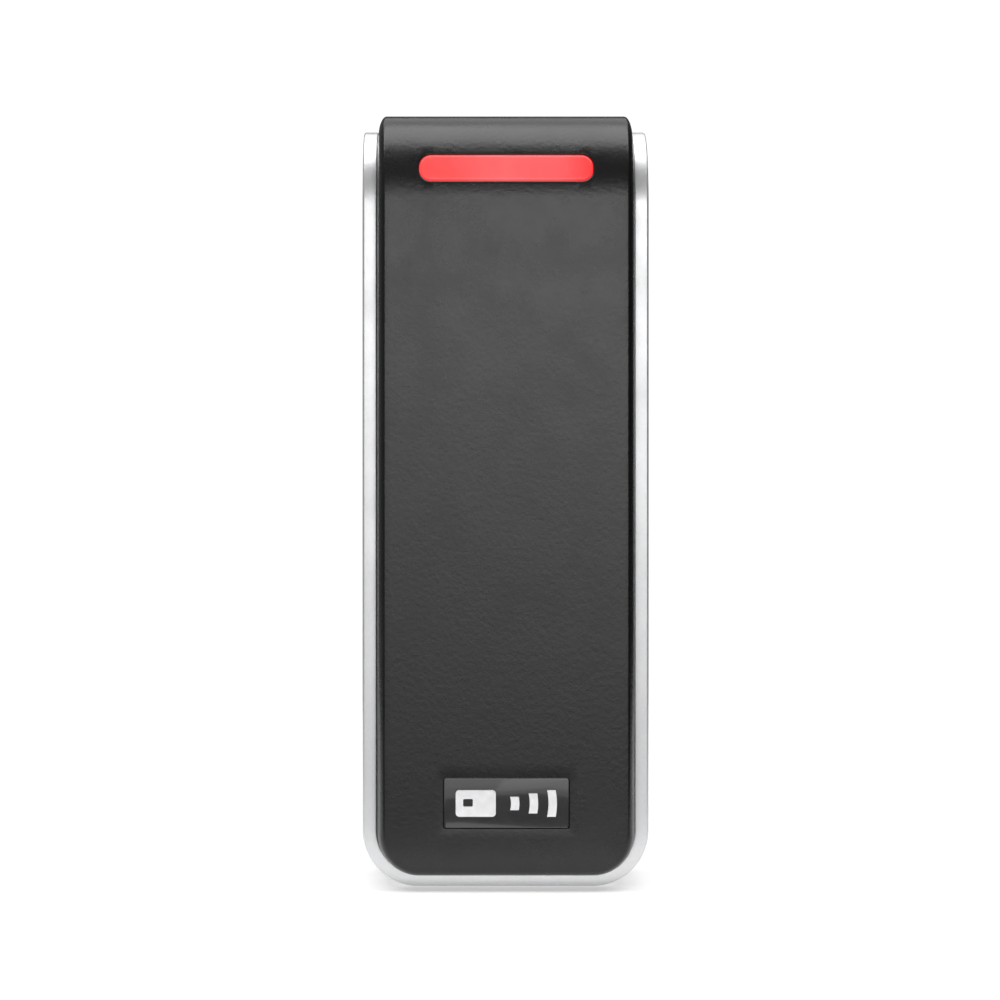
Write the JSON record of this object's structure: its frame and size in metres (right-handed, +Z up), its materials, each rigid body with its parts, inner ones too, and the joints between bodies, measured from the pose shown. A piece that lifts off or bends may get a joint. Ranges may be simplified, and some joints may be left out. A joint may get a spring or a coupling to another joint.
{
  "type": "wall-mounted contactless card reader",
  "caption": "Narrow wall-mounted contactless card reader with a lit status bar, silver side trim and a hook-on wall plate.",
  "frame": {"origin": "centre of the wall-screw slots, on the wall plate's back face", "axes": "+Z up along the reader's length, +Y into the wall, so the card is shown from -Y"},
  "size_m": [0.045, 0.0195, 0.1216],
  "materials": {
    "mounting_plate": "fine moulded texture",
    "threaded_insert": "turned",
    "rear_housing": "fine moulded texture",
    "side_trim": "satin silver paint",
    "front_cover": "fine moulded texture",
    "cover_seal": "matt",
    "potting": "poured resin",
    "light_bar_lens": "frosted, lit red",
    "light_guide": "clear",
    "light_shroud": "matt",
    "badge_plate": "gloss",
    "badge_emblem": "satin foil",
    "main_pcb": "solder mask",
    "status_leds": "satin",
    "hf_antenna_loops": "bare copper",
    "lf_antenna_coil": "enamelled copper",
    "coil_former": "matt",
    "ferrite_sheet": "matt",
    "controller_chips": "matt",
    "rf_shield_can": "tinned",
    "chip_capacitors": "matt",
    "chip_resistors": "satin",
    "tantalum_capacitors": "matt",
    "power_inductor": "matt",
    "crystal": "satin",
    "sounder": "satin",
    "tamper_sensor": "satin",
    "tamper_window": "clear dark red",
    "terminal_block": "satin",
    "terminal_screws": "plated",
    "terminal_clamps": "plated",
    "pcb_screws": "plated",
    "retaining_screw": "black oxide"
  },
  "bodies": {
    "wall_plate": {"mounting_plate": "mounting_plate", "threaded_insert": "threaded_insert"},
    "reader": {"rear_housing": "rear_housing", "side_trim": "side_trim", "front_cover": "front_cover", "cover_seal": "cover_seal", "potting": "potting", "light_bar_lens": "light_bar_lens", "light_guide": "light_guide", "light_shroud": "light_shroud", "badge_plate": "badge_plate", "badge_emblem": "badge_emblem", "main_pcb": "main_pcb", "status_leds": "status_leds", "hf_antenna_loops": "hf_antenna_loops", "lf_antenna_coil": "lf_antenna_coil", "coil_former": "coil_former", "ferrite_sheet": "ferrite_sheet", "controller_chips": "controller_chips", "rf_shield_can": "rf_shield_can", "chip_capacitors": "chip_capacitors", "chip_resistors": "chip_resistors", "tantalum_capacitors": "tantalum_capacitors", "power_inductor": "power_inductor", "crystal": "crystal", "sounder": "sounder", "tamper_sensor": "tamper_sensor", "tamper_window": "tamper_window", "terminal_block": "terminal_block", "terminal_screws": "terminal_screws", "terminal_clamps": "terminal_clamps", "pcb_screws": "pcb_screws"},
    "retaining_screw": {"retaining_screw": "retaining_screw"}
  },
  "joints": [
    {"name": "reader_swing", "type": "hinge", "parent": "wall_plate", "child": "reader", "pos_m": [0, -0.0042, 0.055], "axis": [-1, 0, 0], "range_deg": [0, 20]},
    {"name": "screw_drive", "type": "slide", "parent": "reader", "child": "retaining_screw", "axis": [0, 0, 1], "range_m": [0, 0.003]}
  ]
}
